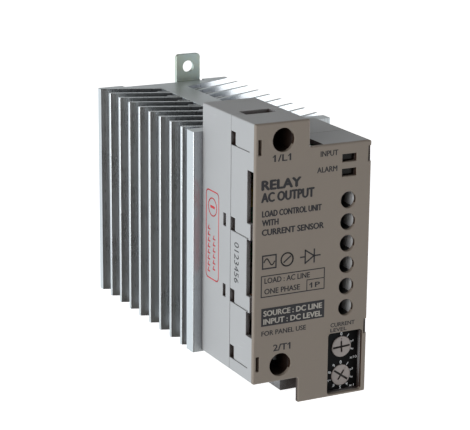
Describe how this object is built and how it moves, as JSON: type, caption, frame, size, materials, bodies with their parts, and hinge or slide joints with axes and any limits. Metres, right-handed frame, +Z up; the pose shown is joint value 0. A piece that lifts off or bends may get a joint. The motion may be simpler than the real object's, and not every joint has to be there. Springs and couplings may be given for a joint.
{
  "type": "solid state relay",
  "caption": "Finned solid state relay with load and control screw terminals, signal lamps, rotary level switches and a bracket for panel or rail mounting.",
  "frame": {"origin": "middle of the two panel-screw holes, on the rear mounting plane", "axes": "+Y points back into the panel, +Z up towards the line terminal, +X to the right seen from the front"},
  "size_m": [0.055, 0.127, 0.1],
  "materials": {
    "anodised_aluminium": "satin",
    "zinc_plate": "satin",
    "case_grey": "matt",
    "cover_grey": "matt",
    "steel_screw": "satin",
    "tinned_copper": "satin",
    "black_plastic": "matt",
    "dial_grey": "satin",
    "lamp_lens": "gloss",
    "circuit_board": "satin",
    "thermal_grease": "matt",
    "copper_plate": "satin",
    "component_blue": "gloss",
    "component_yellow": "gloss"
  },
  "bodies": {
    "relay": {"heat_sink": "anodised_aluminium", "mounting_bracket": "zinc_plate", "bracket_screws": "steel_screw", "lock_spring": "steel_screw", "base_housing": "case_grey", "front_case": "case_grey", "control_block": "case_grey", "front_cover": "cover_grey", "housing_screws": "steel_screw", "wire_clamps": "steel_screw", "line_busbar": "tinned_copper", "load_busbar": "tinned_copper", "control_washers": "steel_screw", "control_contacts": "tinned_copper", "scale_plate": "black_plastic", "switch_bodies": "black_plastic", "switch_board": "circuit_board", "input_lamp": "lamp_lens", "alarm_lamp": "lamp_lens", "control_board": "circuit_board", "main_board": "circuit_board", "thermal_plate": "copper_plate", "thermal_pad": "thermal_grease", "power_module": "black_plastic", "current_transformer": "black_plastic", "snubber_capacitor": "component_yellow", "surge_absorber": "component_blue", "photocouplers": "black_plastic", "drive_resistors": "component_blue", "board_header": "black_plastic", "alarm_chip": "black_plastic"},
    "rail_lock": {"rail_lock": "zinc_plate"},
    "tens_dial": {"tens_dial": "dial_grey"},
    "units_dial": {"units_dial": "dial_grey"},
    "line_screw": {"line_screw": "steel_screw"},
    "load_screw": {"load_screw": "steel_screw"},
    "control_screw_1": {"control_screw_1": "steel_screw"},
    "control_screw_2": {"control_screw_2": "steel_screw"},
    "control_screw_3": {"control_screw_3": "steel_screw"},
    "control_screw_4": {"control_screw_4": "steel_screw"},
    "control_screw_5": {"control_screw_5": "steel_screw"},
    "control_screw_6": {"control_screw_6": "steel_screw"}
  },
  "joints": [
    {"name": "rail_lock_slide", "type": "slide", "parent": "relay", "child": "rail_lock", "axis": [0, 0, -1], "range_m": [0, 0.0035], "stiffness_N_per_m": 600, "springref_m": -0.003, "deforming": ["lock_spring"]},
    {"name": "tens_dial_turn", "type": "hinge", "parent": "relay", "child": "tens_dial", "pos_m": [0.0007, -0.1244, -0.0332], "axis": [0, 1, 0], "continuous": true},
    {"name": "units_dial_turn", "type": "hinge", "parent": "relay", "child": "units_dial", "pos_m": [0.0007, -0.1244, -0.0437], "axis": [0, 1, 0], "continuous": true},
    {"name": "line_screw_turn", "type": "hinge", "parent": "relay", "child": "line_screw", "pos_m": [-0.0251, -0.113, 0.044], "axis": [0, 1, 0], "continuous": true},
    {"name": "load_screw_turn", "type": "hinge", "parent": "relay", "child": "load_screw", "pos_m": [-0.0251, -0.113, -0.0349], "axis": [0, 1, 0], "continuous": true},
    {"name": "control_screw_1_turn", "type": "hinge", "parent": "relay", "child": "control_screw_1", "pos_m": [0.0004, -0.1158, 0.0206], "axis": [0, 1, 0], "continuous": true},
    {"name": "control_screw_2_turn", "type": "hinge", "parent": "relay", "child": "control_screw_2", "pos_m": [0.0004, -0.1158, 0.0129], "axis": [0, 1, 0], "continuous": true},
    {"name": "control_screw_3_turn", "type": "hinge", "parent": "relay", "child": "control_screw_3", "pos_m": [0.0004, -0.1158, 0.0052], "axis": [0, 1, 0], "continuous": true},
    {"name": "control_screw_4_turn", "type": "hinge", "parent": "relay", "child": "control_screw_4", "pos_m": [0.0004, -0.1158, -0.0025], "axis": [0, 1, 0], "continuous": true},
    {"name": "control_screw_5_turn", "type": "hinge", "parent": "relay", "child": "control_screw_5", "pos_m": [0.0004, -0.1158, -0.0102], "axis": [0, 1, 0], "continuous": true},
    {"name": "control_screw_6_turn", "type": "hinge", "parent": "relay", "child": "control_screw_6", "pos_m": [0.0004, -0.1158, -0.0179], "axis": [0, 1, 0], "continuous": true}
  ]
}
